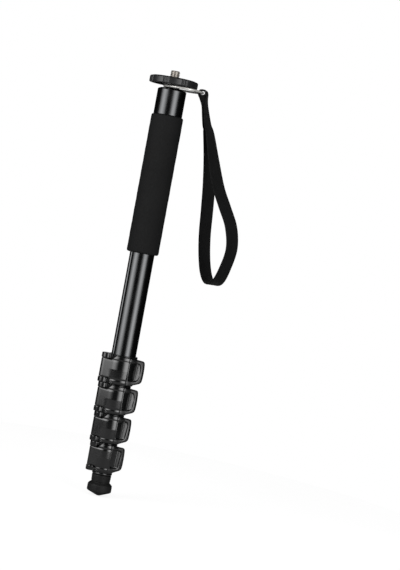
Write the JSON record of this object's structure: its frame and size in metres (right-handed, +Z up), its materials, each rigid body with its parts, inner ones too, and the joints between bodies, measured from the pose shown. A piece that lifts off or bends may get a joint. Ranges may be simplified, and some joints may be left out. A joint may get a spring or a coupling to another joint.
{
  "type": "camera monopod",
  "caption": "Folded telescopic camera monopod with lever locks, foam grip, threaded camera platform, rubber foot and a wrist strap on a ring.",
  "frame": {"origin": "centre of the small flat on the tip of the foot, on the leg's axis", "axes": "+Z runs up the leg to the camera stud; the levers face -Y and their finger tabs point to +X, as does the strap"},
  "size_m": [0.117, 0.0738, 0.432],
  "materials": {
    "anodised_black": "gloss black anodised",
    "collar_plastic": "polished moulded nylon",
    "lever_plastic": "satin moulded nylon",
    "foam": "closed cell foam",
    "rubber": "matte",
    "webbing": "flat woven webbing",
    "chrome": "bright chrome",
    "steel": "bright steel",
    "guide_plastic": "natural acetal",
    "wheel_plastic": "satin moulded plastic"
  },
  "bodies": {
    "section_5": {"tube_5": "anodised_black", "guide_bush_5": "guide_plastic", "foot_plug": "wheel_plastic", "rubber_foot": "rubber"},
    "section_4": {"tube_4": "anodised_black", "lock_collar_4": "collar_plastic", "lock_liner_4": "guide_plastic", "hinge_pin_4": "steel", "guide_bush_4": "guide_plastic"},
    "section_3": {"tube_3": "anodised_black", "lock_collar_3": "collar_plastic", "lock_liner_3": "guide_plastic", "hinge_pin_3": "steel", "guide_bush_3": "guide_plastic"},
    "section_2": {"tube_2": "anodised_black", "lock_collar_2": "collar_plastic", "lock_liner_2": "guide_plastic", "hinge_pin_2": "steel", "guide_bush_2": "guide_plastic"},
    "section_1": {"tube_1": "anodised_black", "lock_collar_1": "collar_plastic", "lock_liner_1": "guide_plastic", "hinge_pin_1": "steel", "foam_grip": "foam", "head_sleeve": "anodised_black", "top_cap": "wheel_plastic"},
    "lever_1": {"lock_lever_1": "lever_plastic"},
    "pad_1": {"brake_pad_1": "guide_plastic"},
    "lever_2": {"lock_lever_2": "lever_plastic"},
    "pad_2": {"brake_pad_2": "guide_plastic"},
    "lever_3": {"lock_lever_3": "lever_plastic"},
    "pad_3": {"brake_pad_3": "guide_plastic"},
    "lever_4": {"lock_lever_4": "lever_plastic"},
    "pad_4": {"brake_pad_4": "guide_plastic"},
    "platform": {"camera_stud": "steel", "platform_wheel": "wheel_plastic", "platform_pad": "rubber", "retaining_clip": "steel"},
    "ring": {"strap_ring": "chrome"},
    "strap": {"wrist_strap": "webbing"}
  },
  "joints": [
    {"name": "section_4_slide", "type": "slide", "parent": "section_5", "child": "section_4", "axis": [0, 0, 1], "range_m": [0, 0.319]},
    {"name": "section_3_slide", "type": "slide", "parent": "section_4", "child": "section_3", "axis": [0, 0, 1], "range_m": [0, 0.292]},
    {"name": "section_2_slide", "type": "slide", "parent": "section_3", "child": "section_2", "axis": [0, 0, 1], "range_m": [0, 0.266]},
    {"name": "section_1_slide", "type": "slide", "parent": "section_2", "child": "section_1", "axis": [0, 0, 1], "range_m": [0, 0.24]},
    {"name": "lever_1_hinge", "type": "hinge", "parent": "section_1", "child": "lever_1", "pos_m": [-0.017, -0.0045, 0.1291], "axis": [0, 0, -1], "range_deg": [0, 110]},
    {"name": "pad_1_slide", "type": "slide", "parent": "section_1", "child": "pad_1", "axis": [-0.9667, -0.256, 0], "range_m": [0, 0.000385]},
    {"name": "lever_2_hinge", "type": "hinge", "parent": "section_2", "child": "lever_2", "pos_m": [-0.0156, -0.00399, 0.0992], "axis": [0, 0, -1], "range_deg": [0, 110]},
    {"name": "pad_2_slide", "type": "slide", "parent": "section_2", "child": "pad_2", "axis": [-0.9688, -0.248, 0], "range_m": [0, 0.000385]},
    {"name": "lever_3_hinge", "type": "hinge", "parent": "section_3", "child": "lever_3", "pos_m": [-0.0142, -0.00348, 0.0693], "axis": [0, 0, -1], "range_deg": [0, 110]},
    {"name": "pad_3_slide", "type": "slide", "parent": "section_3", "child": "pad_3", "axis": [-0.9712, -0.2383, 0], "range_m": [0, 0.000385]},
    {"name": "lever_4_hinge", "type": "hinge", "parent": "section_4", "child": "lever_4", "pos_m": [-0.0128, -0.00298, 0.0394], "axis": [0, 0, -1], "range_deg": [0, 110]},
    {"name": "pad_4_slide", "type": "slide", "parent": "section_4", "child": "pad_4", "axis": [-0.974, -0.2265, 0], "range_m": [0, 0.000385]},
    {"name": "platform_spin", "type": "hinge", "parent": "section_1", "child": "platform", "pos_m": [0, 0, 0.4175], "axis": [0, 0, 1], "continuous": true},
    {"name": "ring_swivel", "type": "hinge", "parent": "section_1", "child": "ring", "pos_m": [0, 0, 0.4155], "axis": [0, 0, 1], "continuous": true},
    {"name": "strap_swing", "type": "hinge", "parent": "ring", "child": "strap", "pos_m": [0.0306, 0, 0.4155], "axis": [0, -1, 0], "range_deg": [-12, 75]}
  ],
  "couplings": [
    {"joint": "pad_1_slide", "follows": "lever_1_hinge", "m_per_rad": 0.00020054},
    {"joint": "pad_2_slide", "follows": "lever_2_hinge", "m_per_rad": 0.00020054},
    {"joint": "pad_3_slide", "follows": "lever_3_hinge", "m_per_rad": 0.00020054},
    {"joint": "pad_4_slide", "follows": "lever_4_hinge", "m_per_rad": 0.00020054}
  ]
}
